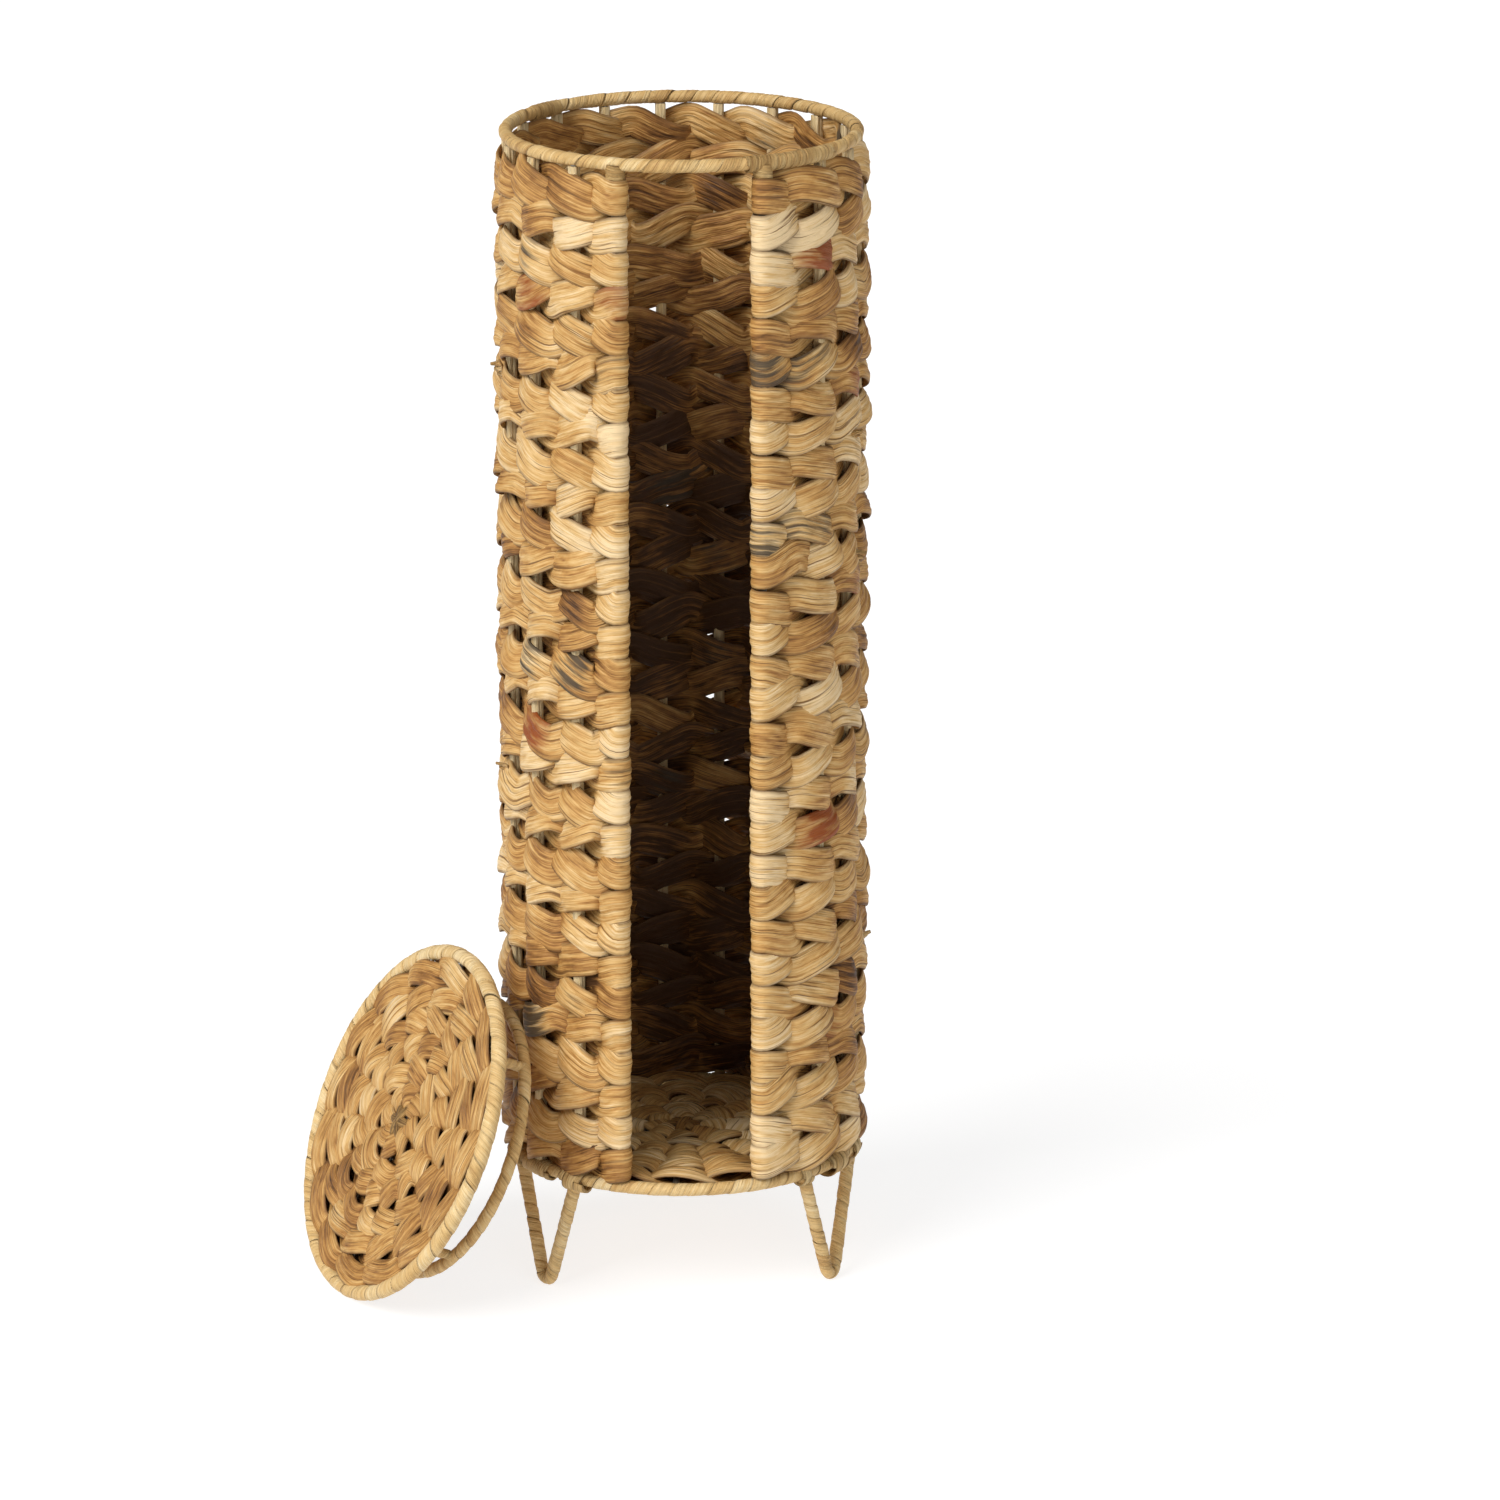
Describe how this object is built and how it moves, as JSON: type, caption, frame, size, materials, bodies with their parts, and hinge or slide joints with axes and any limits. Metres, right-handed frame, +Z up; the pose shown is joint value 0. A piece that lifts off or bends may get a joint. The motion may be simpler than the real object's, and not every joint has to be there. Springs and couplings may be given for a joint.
{
  "type": "toilet roll storage holder",
  "caption": "Tall round woven holder that stores spare toilet rolls in a stack, on wire legs, with an open front slot and a lift-off woven lid.",
  "frame": {"origin": "on the floor under the middle of the holder, in the plane that its three feet stand on", "axes": "+Z up along the holder's axis, the front slot faces -Y, +X to the right of someone who faces the slot"},
  "size_m": [0.2589, 0.2009, 0.528],
  "materials": {
    "wire": "plain drawn wire",
    "wrapping_strand": "flattened dried plant stem, satin",
    "woven_strand": "twisted dried plant stem, satin",
    "lashing_strand": "flattened dried plant stem, darker"
  },
  "bodies": {
    "holder": {"bottom_ring": "wire", "bottom_ring_wrap": "wrapping_strand", "top_ring": "wire", "top_ring_wrap": "wrapping_strand", "uprights": "wire", "upright_wraps": "wrapping_strand", "left_post": "wire", "right_post": "wire", "weave_course_01": "woven_strand", "weave_course_02": "woven_strand", "weave_course_03": "woven_strand", "weave_course_04": "woven_strand", "weave_course_05": "woven_strand", "weave_course_06": "woven_strand", "weave_course_07": "woven_strand", "weave_course_08": "woven_strand", "weave_course_09": "woven_strand", "weave_course_10": "woven_strand", "weave_course_11": "woven_strand", "weave_course_12": "woven_strand", "weave_course_13": "woven_strand", "weave_course_14": "woven_strand", "weave_course_15": "woven_strand", "weave_course_16": "woven_strand", "weave_course_17": "woven_strand", "weave_course_18": "woven_strand", "weave_course_19": "woven_strand", "weave_course_20": "woven_strand", "weave_course_21": "woven_strand", "weave_course_22": "woven_strand", "weave_course_23": "woven_strand", "weave_course_24": "woven_strand", "weave_course_25": "woven_strand", "weave_course_26": "woven_strand", "weave_course_27": "woven_strand", "weave_course_28": "woven_strand", "weave_course_29": "woven_strand", "weave_course_30": "woven_strand", "base_wires": "wire", "base_weave": "woven_strand", "front_left_leg": "wire", "front_right_leg": "wire", "rear_leg": "wire", "front_left_leg_wrap": "wrapping_strand", "front_right_leg_wrap": "wrapping_strand", "rear_leg_wrap": "wrapping_strand", "leg_lashings": "lashing_strand", "rim_lashings": "lashing_strand"},
    "lid": {"lid_rim": "wire", "lid_rim_wrap": "wrapping_strand", "lid_spokes": "wire", "lid_knot": "lashing_strand", "lid_course_1": "woven_strand", "lid_course_2": "woven_strand", "lid_course_3": "woven_strand", "lid_course_4": "woven_strand", "lid_course_5": "woven_strand", "lid_course_6": "woven_strand", "locating_frame": "wire", "locating_frame_wrap": "wrapping_strand"}
  },
  "joints": [
    {"name": "lid_lift", "type": "slide", "parent": "holder", "child": "lid", "axis": [0, 0, 1], "range_m": [0, 0.54]}
  ]
}
